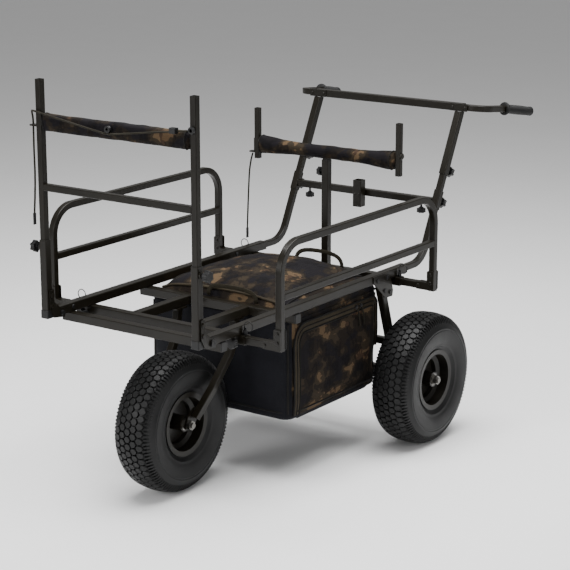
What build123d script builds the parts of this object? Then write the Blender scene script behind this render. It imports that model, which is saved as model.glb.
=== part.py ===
from build123d import *
from math import cos, hypot, pi, radians, sin, tan
import os

# Three-wheeled folding barrow.  Millimetres.  +X is forward, +Y is the cart's left, +Z is up.
# The origin is on the ground, midway along the cart and on its centre line.

# Square tube family: outer size and wall
FRAME = 25.0            # chassis rails and cross tubes
RAIL_WALL = 3.0
SLEEVE_WALL = 2.0
MID = 22.0              # sleeves of the folding panel, handles and rod rest
MID_WALL = 1.5
SLIM = 18.0             # tubes that slide inside the MID sleeves, and the side gates
SLIM_WALL = 1.5
ARM = 20.0              # outrigger arms that slide inside the FRAME sleeves
POST = 16.0             # end posts of the rod rest
PLATE = 2.5             # folded steel brackets

# Deck
RAIL_Y = 250.0
RAIL_TOP = 507.0
RAIL_Z = RAIL_TOP - FRAME / 2
CROSS_Z = RAIL_Z - FRAME
CROSS_TOP = CROSS_Z + FRAME / 2
CROSS_BOTTOM = CROSS_Z - FRAME / 2
RAIL_FRONT = 728.0
RAIL_REAR = -212.0
CROSS_FRONT_X = 660.0
SLEEVE_FRONT_X = 577.0
CROSS_MIDDLE_X = 338.0
SLEEVE_REAR_X = -160.0
SLEEVE_END_Y = 276.0
BEARER_Y = 100.0
KNOB_Z = CROSS_Z - 5.0      # outrigger clamp knobs

# Wheels: 15 x 6.00-6 turf tyres on pressed steel rims
TYRE_R = 190.0
TYRE_HALF = 64.0
RIM_FLANGE_R = 87.5
RIM_FLANGE_HALF = 48.0
BEAD_R = 76.0
HUB_HALF = 44.0
HUB_R = 21.5
BEARING_R = 17.5
BEARING_W = 10.0
AXLE_R = 8.0
FRONT_X = 543.0
REAR_X = -179.0
REAR_Y = 333.0

# Fork
FORK_TUBE = 20.0
DROPOUT_T = 6.0
DROPOUT_Y = 50.0

# Rear legs
LEG_Y = RAIL_Y
LEG_TOP_X = -82.0
BRACE_Z = 290.0

# Folding front panel
PANEL_X = 747.0
PANEL_PIVOT = (708.0, 490.0)
PANEL_SLEEVE_TOP = 692.0
PANEL_INNER_BOTTOM = 562.0
PANEL_TOP = 1111.0
PANEL_BOTTOM = 482.0
PANEL_BOLT_X = 743.0
PANEL_BOLT_Z = (516.0, 544.0)
PANEL_MID_Z = 832.5
PANEL_PAD_Z = 1002.0
PANEL_KNOB_Z = 671.0
PAD_THICK = 34.0
PAD_TALL = 46.0

# Side gates
GATE_Y = 378.0
GATE_FRONT_X = SLEEVE_FRONT_X
GATE_REAR_X = SLEEVE_REAR_X
GATE_TOP = 728.0
GATE_MID = 595.5
GATE_BOTTOM = 457.0
GATE_BEND_R = 75.0
ARM_INNER_Y = 110.0

# Handles
HANDLE_CORNER = (-307.0, RAIL_Z)
HANDLE_TOP = (-516.0, 920.0)
HANDLE_BEND_R = 75.0
HANDLE_INSERT_X = -60.0
HANDLE_LOWER_TOP_Z = 850.0
HANDLE_SLEEVE_Z = 733.0
HANDLE_KNOB_Z = 748.0
GRIP_BEND_Y = 325.0
GRIP_START_X = -638.0
GRIP_DROP = 14.0
GRIP_TILT = 10.0
GRIP_SPLAY = 10.0
GRIP_LENGTH = 130.1
GRIP_R = 13.0
GUARD_R = 20.0

# Rear bar that ties the handles
COLLAR_Z = (638.0, 688.0)
REAR_BAR_Z = 658.0
REAR_BAR = 20.0
T_KNOB_Y = 199.0
HOLDER_HEIGHT = 80.0
HOLDER = 28.0

# Rod rest behind the deck
REST_X = SLEEVE_REAR_X - FRAME / 2 - MID / 2
REST_POST_TOP = 787.0
REST_STEM_BOTTOM = 600.0
REST_PAD_Z = 809.0
REST_END_Y = 246.0
REST_END = (766.0, 916.0)
REST_KNOB_Z = 751.0

# Under-deck bag
BAG_X = (-96.0, 340.0)
BAG_Y = 236.0
BAG_Z = (168.0, 453.0)
LID_X = (-92.0, 321.0)
LID_Y = 234.0
LID_Z = (453.6, 512.0)
LID_CROWN = 30.0
STRAP_Y = 36.0
STRAP_HALF = 86.0
STRAP_THICK = 2.4

CORD_D = 5.0
GAP = 0.3
RUN_CLEARANCE = 0.05


def sub(a, b):
    return tuple(p - q for p, q in zip(a, b))


def section(size, wall):
    """Rounded square tube section."""
    corner = min(2.5, size / 8)
    inner = size - 2 * wall
    return RectangleRounded(size, size, corner) - RectangleRounded(inner, inner, max(corner - wall, 0.6))


def tube(start, end, size, wall, side=(0, 1, 0)):
    """Straight square tube from one point to another, with one face square to `side`."""
    run = Vector(*end) - Vector(*start)
    plane = Plane(origin=start, x_dir=side, z_dir=run)
    return extrude(plane * section(size, wall), amount=run.length)


def bent_tube(points, radius, size, wall, side=(0, 1, 0)):
    """Square tube bent round the inner points of a route."""
    path = FilletPolyline(*points, radius=radius)
    plane = Plane(origin=points[0], x_dir=side, z_dir=Vector(*points[1]) - Vector(*points[0]))
    return sweep(plane * section(size, wall), path=path)


def bar(start, end, radius, inner=0.0):
    """Round bar or ring between two points."""
    run = Vector(*end) - Vector(*start)
    plane = Plane(origin=start, z_dir=run)
    face = Circle(radius) - Circle(inner) if inner else Circle(radius)
    return extrude(plane * face, amount=run.length)


def block(x, y, z):
    """Box from three (low, high) pairs."""
    size = (x[1] - x[0], y[1] - y[0], z[1] - z[0])
    centre = ((x[0] + x[1]) / 2, (y[0] + y[1]) / 2, (z[0] + z[1]) / 2)
    return Pos(*centre) * Box(*size)


def both(shape):
    """A shape and its mirror image across the centre line."""
    return [shape, mirror(shape, about=Plane.XZ)]


def bolt(at, direction, radius, shank=0.0):
    """Button head on a surface, with an optional shank behind it."""
    plane = Plane(origin=at, z_dir=direction)
    head = extrude(plane * Circle(radius), amount=radius * 0.55)
    head = chamfer(head.faces().sort_by(Axis(at, direction))[-1].edges(), radius * 0.25)
    if shank:
        head += extrude(plane * Circle(radius * 0.5), amount=-shank)
    return head


def lobed_knob(at, direction, stem, head_r=16.0, head_t=14.0, stud_r=4.0):
    """Clamp knob: a stud that starts at `at`, a collar and a six-lobed head."""
    plane = Plane(origin=at, z_dir=direction)
    face = Circle(head_r * 0.82)
    for lobe in range(6):
        angle = lobe * pi / 3
        face += Pos(head_r * 0.74 * cos(angle), head_r * 0.74 * sin(angle)) * Circle(head_r * 0.26)
    head = extrude(plane.offset(stem) * face, amount=head_t)
    head = chamfer(head.faces().sort_by(Axis(at, direction))[-1].edges(), 1.2)
    stud = extrude(plane * Circle(stud_r), amount=stem + 1)
    collar = extrude(plane.offset(stem - 4) * Circle(head_r * 0.45), amount=5)
    return stud + collar + head


def pull_pin(x, y_sign):
    """Spring plunger with a pull ring on top of an outrigger sleeve."""
    y = y_sign * (RAIL_Y + FRAME / 2 + 7.0)
    seat = CROSS_TOP + GAP
    pin = bar((x, y, CROSS_TOP - SLEEVE_WALL + GAP), (x, y, seat + 1), 2.4)
    body = bar((x, y, seat), (x, y, seat + 13), 5.0)
    eye = block((x - 1.5, x + 1.5), (y - 3.5, y + 3.5), (seat + 12, seat + 19))
    hole = bar((x - 5, y, seat + 15.5), (x + 5, y, seat + 15.5), 2.0)
    ring_r = 13.0
    tilt = radians(35)
    centre = (x, y + y_sign * ring_r * cos(tilt), seat + 15.5 + ring_r * sin(tilt))
    ring = Plane(origin=centre, z_dir=(1, 0, 0)) * Torus(ring_r, 1.2)
    return [pin + body + eye - hole, ring]


def plate_xz(points, y_low, y_high, holes=(), hole_r=4.0, corner=6.0):
    """Flat plate in a vertical fore-and-aft plane, with rounded corners and round holes."""
    outline = Polyline(*[(x, y_low, z) for x, z in points], close=True)
    face = make_face(outline)
    solid = extrude(face, amount=y_high - y_low, dir=(0, 1, 0))
    solid = fillet(solid.edges().filter_by(Axis.Y), corner)
    for x, z in holes:
        solid -= bar((x, y_low - 1, z), (x, y_high + 1, z), hole_r)
    return solid


def save(node, shapes):
    """Write one node, with every piece as a solid of its own."""
    solids = []
    for shape in shapes:
        solids += shape.solids()
    export_step(Compound(children=solids), f"parts/{node}.step")


# ---------------------------------------------------------------- chassis

def side_rails():
    rail = tube((RAIL_REAR, RAIL_Y, RAIL_Z), (RAIL_FRONT, RAIL_Y, RAIL_Z), FRAME, RAIL_WALL)
    x, z = PANEL_PIVOT
    rail -= bar((x, RAIL_Y - FRAME, z), (x, RAIL_Y + FRAME, z), 4.1)
    return both(rail)


def deck_tubes():
    outer = RAIL_Y + FRAME / 2
    pieces = [tube((x, -outer, CROSS_Z), (x, outer, CROSS_Z), FRAME, SLEEVE_WALL, (1, 0, 0))
              for x in (CROSS_FRONT_X, CROSS_MIDDLE_X)]
    start = CROSS_MIDDLE_X + FRAME / 2
    end = SLEEVE_FRONT_X - FRAME / 2
    pieces += both(tube((start, BEARER_Y, CROSS_Z), (end, BEARER_Y, CROSS_Z), FRAME, SLEEVE_WALL))
    return pieces


def outrigger_sleeves():
    pieces = []
    for x in (SLEEVE_FRONT_X, SLEEVE_REAR_X):
        sleeve = tube((x, -SLEEVE_END_Y, CROSS_Z), (x, SLEEVE_END_Y, CROSS_Z), FRAME, SLEEVE_WALL, (1, 0, 0))
        for side in (-1, 1):
            pin_y = side * (RAIL_Y + FRAME / 2 + 7.0)
            sleeve -= bar((x, pin_y, CROSS_Z + 5), (x, pin_y, CROSS_TOP + 1), 3.0)
            face = x + FRAME / 2
            knob_y = side * knob_offset(x)
            sleeve -= bar((face - 4, knob_y, KNOB_Z), (face + 1, knob_y, KNOB_Z), 4.3)
        pieces.append(sleeve)
    return pieces


def knob_offset(x):
    """Distance from the centre line of an outrigger knob: the rear pair sits inboard of the gussets."""
    return 252.0 if x > 0 else 244.0


def fork_route():
    """Centre line of one fork arm, from the bearer down to the axle plate."""
    top = (392.0, 97.0, CROSS_BOTTOM - 4.0)
    return [top, (410.0, 95.5, 368.0), (476.0, 86.0, 283.0), (528.0, 66.0, 207.0)]


def front_fork():
    top, upper, bend, low = fork_route()
    path = FilletPolyline(top, upper, bend, low, radius=[40, 45])
    plane = Plane(origin=top, x_dir=(0, 1, 0), z_dir=Vector(*upper) - Vector(*top))
    arm = sweep(plane * section(FORK_TUBE, 2.0), path=path)
    foot = block((370, 414), (82, 112), (CROSS_BOTTOM - 4.0, CROSS_BOTTOM))
    arm = arm - block((360, 430), (60, 130), (CROSS_BOTTOM - 4.0, CROSS_BOTTOM + 30))
    dropout_y = (DROPOUT_Y, DROPOUT_Y + DROPOUT_T)
    outline = [(FRONT_X - 34, 236), (FRONT_X + 4, 212), (FRONT_X + 17, 178),
               (FRONT_X - 17, 174), (FRONT_X - 40, 205)]
    dropout = plate_xz(outline, *dropout_y, holes=[(FRONT_X, TYRE_R)], hole_r=AXLE_R + 0.1, corner=8)
    arm = arm - block((440, 600), (0, dropout_y[1]), (140, 300))
    return both(arm) + both(foot) + both(dropout)


def rear_axle_frame():
    slope = (LEG_TOP_X - REAR_X) / (RAIL_TOP - FRAME - TYRE_R)
    half = FRAME / 2
    leg = tube((REAR_X - slope * 30, LEG_Y, TYRE_R - 30), (LEG_TOP_X + slope * 40, LEG_Y, CROSS_TOP + 40),
               MID, SLEEVE_WALL)
    leg &= block((-400, 200), (150, 300), (TYRE_R + half, CROSS_TOP))
    beam_y = LEG_Y + MID / 2
    beam = tube((REAR_X, -beam_y, TYRE_R), (REAR_X, beam_y, TYRE_R), FRAME, SLEEVE_WALL, (1, 0, 0))
    plug = block((REAR_X - 10.4, REAR_X + 10.4), (beam_y - 20, beam_y), (TYRE_R - 10.4, TYRE_R + 10.4))
    plug -= bar((REAR_X, beam_y - 30, TYRE_R), (REAR_X, beam_y + 5, TYRE_R), AXLE_R + 0.1)
    brace_x = REAR_X + slope * (BRACE_Z - TYRE_R)
    brace_y = LEG_Y - MID / 2
    brace = tube((brace_x, -brace_y, BRACE_Z), (brace_x, brace_y, BRACE_Z), ARM, SLEEVE_WALL, (1, 0, 0))
    outline = [(-30, RAIL_TOP - 1), (-30, 487), (-92, 433), (-128, 431), (-132, 448), (-114, RAIL_TOP - 1)]
    face = RAIL_Y + FRAME / 2
    gusset = plate_xz(outline, face, face + 3, corner=4)
    packer = block((-112, -78), (LEG_Y + MID / 2, face), (440, CROSS_TOP - 2))
    packer &= block((-400, 200), (150, 300), (TYRE_R + half, CROSS_TOP))
    return both(leg) + [beam, brace] + both(plug) + both(gusset) + both(packer)


def tube_cap(at, direction):
    """Plastic plug for an open tube end, with its screw."""
    plane = Plane(origin=at, x_dir=(1, 0, 0), z_dir=direction)
    cap = extrude(plane * RectangleRounded(FRAME, FRAME, 3), amount=4)
    cap = chamfer(cap.faces().sort_by(Axis(at, direction))[-1].edges(), 1.2)
    plug = FRAME - 2 * SLEEVE_WALL - 2 * GAP
    cap += extrude(plane * RectangleRounded(plug, plug, 2), amount=-12)
    return cap


def frame_bolts_and_caps():
    outer = RAIL_Y + FRAME / 2
    pieces = []
    for x in (CROSS_FRONT_X, CROSS_MIDDLE_X):
        pieces += both(tube_cap((x, outer, CROSS_Z), (0, 1, 0)))
    for x, z in ((-50, 490), (-100, 492), (-116, 446), (-88, 455)):
        pieces += both(bolt((x, outer + 3, z), (0, 1, 0), 6.5))
    x, z = PANEL_PIVOT
    head = outer + GAP + PLATE + GAP
    pin = bar((x, RAIL_Y - FRAME / 2 - PLATE - 0.9, z), (x, head, z), 4.0)
    pin += bar((x, head, z), (x, head + 5, z), 9.0)
    pin += bar((x, RAIL_Y - FRAME / 2 - PLATE - 7.5, z), (x, RAIL_Y - FRAME / 2 - PLATE - 0.9, z), 7.0)
    pieces += both(pin)
    for x in (CROSS_FRONT_X, SLEEVE_REAR_X + 96):
        pieces += both(bolt((x, RAIL_Y - FRAME / 2, RAIL_Z + 2), (0, -1, 0), 5.5))
    return pieces


# ---------------------------------------------------------------- wheels

def wheel_plane(x, y):
    """Sketch plane for a wheel: local x runs across the wheel and local y is the radius."""
    return Plane(origin=(x, y, TYRE_R), x_dir=(0, 1, 0), z_dir=(1, 0, 0))


def tyre(x, y):
    bead, wall, shoulder, crown = 45.8, TYRE_HALF, 54.0, 38.0
    outer = [
        Line((-bead, BEAD_R + 1), (-bead - 1.4, 88.5)),
        Line((-bead - 1.4, 88.5), (-bead - 4, 96)),
        ThreePointArc((-bead - 4, 96), (-wall, 134), (-shoulder, 171)),
        ThreePointArc((-shoulder, 171), (-shoulder + 5, 180), (-crown, 185.5)),
        ThreePointArc((-crown, 185.5), (0, TYRE_R), (crown, 185.5)),
        ThreePointArc((crown, 185.5), (shoulder - 5, 180), (shoulder, 171)),
        ThreePointArc((shoulder, 171), (wall, 134), (bead + 4, 96)),
        Line((bead + 4, 96), (bead + 1.4, 88.5)),
        Line((bead + 1.4, 88.5), (bead, BEAD_R + 1)),
        Line((bead, BEAD_R + 1), (bead - 12, BEAD_R + 1)),
        Line((bead - 12, BEAD_R + 1), (bead - 5, 94)),
        ThreePointArc((bead - 5, 94), (wall - 9, 134), (shoulder - 9, 165)),
        ThreePointArc((shoulder - 9, 165), (0, 177), (-shoulder + 9, 165)),
        ThreePointArc((-shoulder + 9, 165), (-wall + 9, 134), (-bead + 5, 94)),
        Line((-bead + 5, 94), (-bead + 12, BEAD_R + 1)),
        Line((-bead + 12, BEAD_R + 1), (-bead, BEAD_R + 1)),
    ]
    face = make_face(wheel_plane(x, y) * Curve(outer))
    return revolve(face, axis=Axis((x, y, TYRE_R), (0, 1, 0)))


def rim(x, y):
    sheet = 2.5
    well = 60.0
    outline = [
        (-RIM_FLANGE_HALF - 2, RIM_FLANGE_R), (-RIM_FLANGE_HALF, RIM_FLANGE_R),
        (-46.3, BEAD_R + 0.8), (-20, BEAD_R - 1.2),
        (-13, well + sheet), (13, well + sheet), (20, BEAD_R - 1.2), (46.3, BEAD_R + 0.8),
        (RIM_FLANGE_HALF, RIM_FLANGE_R), (RIM_FLANGE_HALF + 2, RIM_FLANGE_R),
        (RIM_FLANGE_HALF + 0.5, BEAD_R - 2.2),
        (21, BEAD_R - 4.2), (15, well), (2, well), (2, HUB_R), (HUB_HALF, HUB_R),
        (HUB_HALF, BEARING_R + RUN_CLEARANCE), (-HUB_HALF, BEARING_R + RUN_CLEARANCE),
        (-HUB_HALF, HUB_R), (-2, HUB_R), (-2, well), (-15, well),
        (-21, BEAD_R - 4.2), (-RIM_FLANGE_HALF - 0.5, BEAD_R - 2.2),
    ]
    face = make_face(wheel_plane(x, y) * Polyline(*outline, close=True))
    return revolve(face, axis=Axis((x, y, TYRE_R), (0, 1, 0)))


def bearings(x, y):
    pieces = []
    for side in (-1, 1):
        start = y + side * (HUB_HALF - BEARING_W)
        end = y + side * HUB_HALF
        pieces.append(bar((x, start, TYRE_R), (x, end, TYRE_R), BEARING_R, AXLE_R))
    return pieces


def nut(x, y, side):
    plane = Plane(origin=(x, y, TYRE_R), z_dir=(0, side, 0))
    body = extrude(plane * (RegularPolygon(13.5, 6) - Circle(AXLE_R)), amount=11)
    return body


def wheel_axles():
    gap = 0.1
    plate_out = DROPOUT_Y + DROPOUT_T
    front = bar((FRONT_X, -plate_out - 16, TYRE_R), (FRONT_X, plate_out + 16, TYRE_R), AXLE_R - gap)
    pieces = [front]
    pieces += both(nut(FRONT_X, plate_out, 1))
    pieces += both(bar((FRONT_X, HUB_HALF, TYRE_R), (FRONT_X, DROPOUT_Y, TYRE_R), 12, AXLE_R))
    beam_y = LEG_Y + MID / 2
    outer = REAR_Y + HUB_HALF
    pieces.append(bar((REAR_X, -outer - 18, TYRE_R), (REAR_X, outer + 18, TYRE_R), AXLE_R - gap))
    pieces += both(bar((REAR_X, beam_y, TYRE_R), (REAR_X, REAR_Y - HUB_HALF, TYRE_R), 12, AXLE_R))
    pieces += both(bar((REAR_X, outer, TYRE_R), (REAR_X, outer + 3, TYRE_R), 15, AXLE_R))
    pieces += both(nut(REAR_X, outer + 3, 1))
    return pieces


# ---------------------------------------------------------------- folding front panel

def panel_sleeves():
    sleeve = tube((PANEL_X, RAIL_Y, PANEL_BOTTOM + 4), (PANEL_X, RAIL_Y, PANEL_SLEEVE_TOP), MID, MID_WALL)
    face = RAIL_Y + MID / 2
    boss = bar((PANEL_X, face - 0.5, PANEL_KNOB_Z), (PANEL_X, face + 5, PANEL_KNOB_Z), 8.0)
    sleeve += boss
    sleeve -= bar((PANEL_X, RAIL_Y + 5, PANEL_KNOB_Z), (PANEL_X, face + 8, PANEL_KNOB_Z), 4.3)
    for z in PANEL_BOLT_Z:
        sleeve -= bar((PANEL_BOLT_X, RAIL_Y - 20, z), (PANEL_BOLT_X, RAIL_Y + 20, z), 3.2)
    return both(sleeve)


def panel_foot_caps():
    wide = MID + 3
    cap = block((PANEL_X - wide / 2, PANEL_X + wide / 2), (RAIL_Y - wide / 2, RAIL_Y + wide / 2),
                (PANEL_BOTTOM, PANEL_BOTTOM + 22))
    cap = fillet(cap.edges().filter_by(Axis.Z), 3)
    cap = fillet(cap.faces().sort_by(Axis.Z)[0].edges(), 2)
    room = block((PANEL_X - MID / 2, PANEL_X + MID / 2), (RAIL_Y - MID / 2, RAIL_Y + MID / 2),
                 (PANEL_BOTTOM + 4, PANEL_BOTTOM + 40))
    slot = block((PANEL_X - wide, PANEL_X - MID / 2 - 0.8), (RAIL_Y - 40, RAIL_Y + 40),
                 (PANEL_BOTTOM, PANEL_BOTTOM + 40))
    return both(cap - room - slot)


def panel_hinge_plates():
    px, pz = PANEL_PIVOT
    outline = [(PANEL_X - 12, 558), (PANEL_X + 4, 558), (PANEL_X + 4, 506), (PANEL_X - 10, 482),
               (px - 13, 476),
               (px - 14, 500), (px + 6, 506), (PANEL_X - 12, 524)]
    pieces = []
    half = FRAME / 2 + GAP
    holes = [(PANEL_BOLT_X, z) for z in PANEL_BOLT_Z]
    for low, high in ((RAIL_Y + half, RAIL_Y + half + PLATE), (RAIL_Y - half - PLATE, RAIL_Y - half)):
        plate = plate_xz(outline, low, high, holes=holes, hole_r=3.2, corner=2.5)
        plate -= bar((px, low - 1, pz), (px, high + 1, pz), 4.0 + RUN_CLEARANCE)
        pieces += both(plate)
    for z in PANEL_BOLT_Z:
        x = PANEL_BOLT_X
        screw = bar((x, RAIL_Y - half - PLATE - 4, z), (x, RAIL_Y + half + PLATE, z), 3.0)
        screw += bar((x, RAIL_Y + half + PLATE, z), (x, RAIL_Y + half + PLATE + 3.5, z), 6.0)
        screw += bar((x, RAIL_Y - half - PLATE - 4, z), (x, RAIL_Y - half - PLATE, z), 5.5)
        pieces += both(screw)
        for low, high in ((MID / 2, half), (-half, -MID / 2)):
            pieces += both(bar((x, RAIL_Y + low, z), (x, RAIL_Y + high, z), 6.0, 3.2))
    return pieces


def panel_inner_frame():
    upright = tube((PANEL_X, RAIL_Y, PANEL_INNER_BOTTOM), (PANEL_X, RAIL_Y, PANEL_TOP), SLIM, SLIM_WALL)
    inner = RAIL_Y - SLIM / 2
    bar_mid = tube((PANEL_X, -inner, PANEL_MID_Z), (PANEL_X, inner, PANEL_MID_Z), SLIM, SLIM_WALL, (1, 0, 0))
    return both(upright) + [bar_mid]


def panel_top_bar():
    inner = RAIL_Y - SLIM / 2
    core = tube((PANEL_X, -inner, PANEL_PAD_Z), (PANEL_X, inner, PANEL_PAD_Z), POST, SLIM_WALL, (1, 0, 0))
    outer = -RAIL_Y - SLIM / 2
    hook = block((PANEL_X - 12, PANEL_X + 4), (outer - 4, outer), (PANEL_PAD_Z - 14, PANEL_PAD_Z + 27))
    hook += block((PANEL_X - 12, PANEL_X + 4), (outer - 27, outer), (PANEL_PAD_Z - 14, PANEL_PAD_Z - 10))
    hook -= bar((PANEL_X - 4, outer - 21, PANEL_PAD_Z - 20), (PANEL_X - 4, outer - 21, PANEL_PAD_Z), 3.6)
    return [core, hook]


def panel_pad():
    half = RAIL_Y - SLIM / 2 - 1
    plane = Plane(origin=(PANEL_X, -half, PANEL_PAD_Z), x_dir=(1, 0, 0), z_dir=(0, 1, 0))
    pad = extrude(plane * RectangleRounded(PAD_THICK, PAD_TALL, 16), amount=2 * half)
    room = POST / 2 + 0.2
    return [pad - block((PANEL_X - room, PANEL_X + room), (-half - 5, half + 5),
                        (PANEL_PAD_Z - room, PANEL_PAD_Z + room))]


# Elastic cord over the padded bar: from the ring on one upright, round the middle button,
# over the other upright, through the hook and down to a hanging tag.
CORD_FRONT_X = PANEL_X + 24.0
SHOCK_CORD = [
    (CORD_FRONT_X - 3, 241.0, 1028.5),
    (CORD_FRONT_X - 0.4, 26.0, 999.6),
    (CORD_FRONT_X, -6.0, 996.0),
    (CORD_FRONT_X - 0.6, -38.0, 999.9),
    (CORD_FRONT_X - 5.2, -232.0, 1027.2),
    (CORD_FRONT_X - 6, -262.0, 1032.0),
    (CORD_FRONT_X - 20, -277.0, 1027.0),
    (CORD_FRONT_X - 28, -280.0, 1006.0),
    (CORD_FRONT_X - 28, -280.5, 976.0),
    (CORD_FRONT_X - 29, -282.0, 922.0),
    (CORD_FRONT_X - 28, -280.0, 862.0),
    (CORD_FRONT_X - 27, -282.0, 806.0),
    (CORD_FRONT_X - 28, -287.0, 758.0),
]
SHOCK_RADII = [None, 12.0, None, None, 12.0, 10.0, 30.0, None, None, None, None]
REST_CORD_X = REST_X - 2.0
REST_CORD = [
    (REST_CORD_X, -267.0, 778.0),
    (REST_CORD_X, -273.0, 762.0),
    (REST_CORD_X, -280.0, 724.0),
    (REST_CORD_X + 1, -282.5, 668.0),
    (REST_CORD_X, -286.5, 606.0),
    (REST_CORD_X + 1, -288.0, 548.0),
]
TAG = (9.0, 4.5, 30.0)


def cord_radii(points, given=None):
    """Arc radius at each inner point: 0.45 of the shorter run over the tangent of half the turn."""
    radii = []
    for i in range(1, len(points) - 1):
        before = Vector(*points[i]) - Vector(*points[i - 1])
        after = Vector(*points[i + 1]) - Vector(*points[i])
        half_turn = radians(before.get_angle(after)) / 2
        largest = 0.45 * min(before.length, after.length) / tan(half_turn)
        wanted = given[i - 1] if given else None
        radii.append(min(wanted, largest) if wanted else largest)
    return radii


def cord(name, points, given=None):
    radii = cord_radii(points, given)
    path = FilletPolyline(*points, radius=radii)
    plane = Plane(origin=points[0], z_dir=Vector(*points[1]) - Vector(*points[0]))
    solid = sweep(plane * Circle(CORD_D / 2), path=path)
    expected = pi * (CORD_D / 2) ** 2 * path.length
    print(name, "length", round(path.length, 1), "radii", [round(r, 1) for r in radii],
          "volume ratio", round(solid.volume / expected, 4))
    return solid


def tag(points):
    """Moulded tag crimped on the end of a hanging cord."""
    x, y, z = points[-1]
    wide, thick, tall = TAG
    piece = block((x - wide / 2, x + wide / 2), (y - thick / 2, y + thick / 2), (z - tall - 0.3, z - 0.3))
    return [fillet(piece.edges().filter_by(Axis.Z), 1.5)]


def shock_cord_fittings():
    x = CORD_FRONT_X
    face = PANEL_X + SLIM / 2
    ring = Plane(origin=(face + 2.6, 250.5, 1029), z_dir=(1, 0, 0)) * (Circle(9) - Circle(4.5))
    ring = extrude(ring, amount=6)
    stud = bar((face, 250.5, 1029), (face + 2.6, 250.5, 1029), 4.0)
    button = Plane(origin=(PANEL_X + 19.2, -6, 1008), z_dir=(1, 0, 0)) * (Circle(9) - Circle(4))
    button = extrude(button, amount=7.5)
    lock = block((x - 5, x + 9), (196, 214), (1019.5, 1033.5))
    run = sub(SHOCK_CORD[1], SHOCK_CORD[0])
    hole = bar(sub(SHOCK_CORD[0], tuple(0.02 * c for c in run)), SHOCK_CORD[1], CORD_D / 2 + 0.2)
    return [ring, stud, button, lock - hole]


# ---------------------------------------------------------------- side gates

def gate_hoop():
    front, rear = GATE_FRONT_X, GATE_REAR_X
    low = GATE_BOTTOM + 3
    route = [(rear, GATE_Y, low), (rear, GATE_Y, GATE_TOP), (front, GATE_Y, GATE_TOP), (front, GATE_Y, low)]
    hoop = bent_tube(route, GATE_BEND_R, SLIM, SLIM_WALL)
    mid = tube((rear + SLIM / 2, GATE_Y, GATE_MID), (front - SLIM / 2, GATE_Y, GATE_MID), SLIM, SLIM_WALL)
    return [hoop, mid]


def gate_arms():
    end = GATE_Y - SLIM / 2
    return [tube((x, ARM_INNER_Y, CROSS_Z), (x, end, CROSS_Z), ARM, SLEEVE_WALL, (1, 0, 0))
            for x in (GATE_FRONT_X, GATE_REAR_X)]


def gate_brackets():
    """Folded L brackets that bolt each arm to its gate leg, their bolts, and the leg caps."""
    pieces = []
    half = ARM / 2
    for x in (GATE_FRONT_X, GATE_REAR_X):
        for side in (-1, 1):
            low_z, high_z = CROSS_Z - 10.5, CROSS_Z + 10.5
            outline = [(330, low_z), (GATE_Y + 10, low_z), (GATE_Y + 10, 515), (GATE_Y - 12, 515),
                       (GATE_Y - 12, high_z), (330, high_z)]
            near = x + side * half
            far = x + side * (half + PLATE)
            low, high = min(near, far), max(near, far)
            face = make_face(Polyline(*[(low, y, z) for y, z in outline], close=True))
            plate = extrude(face, amount=high - low, dir=(1, 0, 0))
            plate = fillet(plate.edges().filter_by(Axis.X), 5)
            pieces.append(plate)
            for y, z in ((GATE_Y - 1, 504), (GATE_Y - 1, 480), (338, CROSS_Z)):
                pieces.append(bolt((far, y, z), (side, 0, 0), 5.0))
        cap = block((x - SLIM / 2, x + SLIM / 2), (GATE_Y - SLIM / 2, GATE_Y + SLIM / 2),
                    (GATE_BOTTOM, GATE_BOTTOM + 3))
        pieces.append(cap)
    return pieces


# ---------------------------------------------------------------- handles

HANDLE_RUN = sub(HANDLE_TOP, HANDLE_CORNER)
HANDLE_LEN = hypot(*HANDLE_RUN)
HANDLE_DIR = (HANDLE_RUN[0] / HANDLE_LEN, HANDLE_RUN[1] / HANDLE_LEN)
HANDLE_BACK = (-HANDLE_DIR[1], HANDLE_DIR[0])


def handle_point(z, y=RAIL_Y, back=0.0):
    """Point on the handle's centre line at height z, moved `back` square to it."""
    along = (z - HANDLE_CORNER[1]) / HANDLE_DIR[1]
    x = HANDLE_CORNER[0] + along * HANDLE_DIR[0] + back * HANDLE_BACK[0]
    return (x, y, z + back * HANDLE_BACK[1])


def handle_lower_tubes():
    corner = (HANDLE_CORNER[0], RAIL_Y, RAIL_Z)
    route = [(HANDLE_INSERT_X, RAIL_Y, RAIL_Z), corner, handle_point(HANDLE_LOWER_TOP_Z)]
    return both(bent_tube(route, HANDLE_BEND_R, SLIM, SLIM_WALL))


def knob_hole(solid, z, direction=(HANDLE_BACK[0], 0, HANDLE_BACK[1])):
    centre = handle_point(z)
    reach = Vector(*centre) + Vector(*direction) * 30
    start = Vector(*centre) + Vector(*direction) * (SLIM / 2)
    return solid - bar(tuple(start), tuple(reach), 4.3)


def handle_frame():
    sleeve = tube(handle_point(HANDLE_SLEEVE_Z), handle_point(HANDLE_TOP[1] - MID / 2), MID, MID_WALL)
    sleeve = knob_hole(sleeve, HANDLE_KNOB_Z)
    top = HANDLE_TOP[1]
    sleeve -= block((-700, -300), (200, 300), (top - MID / 2, top + 60))
    end = RAIL_Y + MID / 2
    crossbar = tube((HANDLE_TOP[0], -end, top), (HANDLE_TOP[0], end, top), MID, MID_WALL, (1, 0, 0))
    return both(sleeve) + [crossbar]


def side_bar_route():
    x, top = HANDLE_TOP
    start = (x, RAIL_Y + MID / 2, top)
    return [start, (x, GRIP_BEND_Y, top), (GRIP_START_X, GRIP_BEND_Y + 4, top - GRIP_DROP)]


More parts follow.
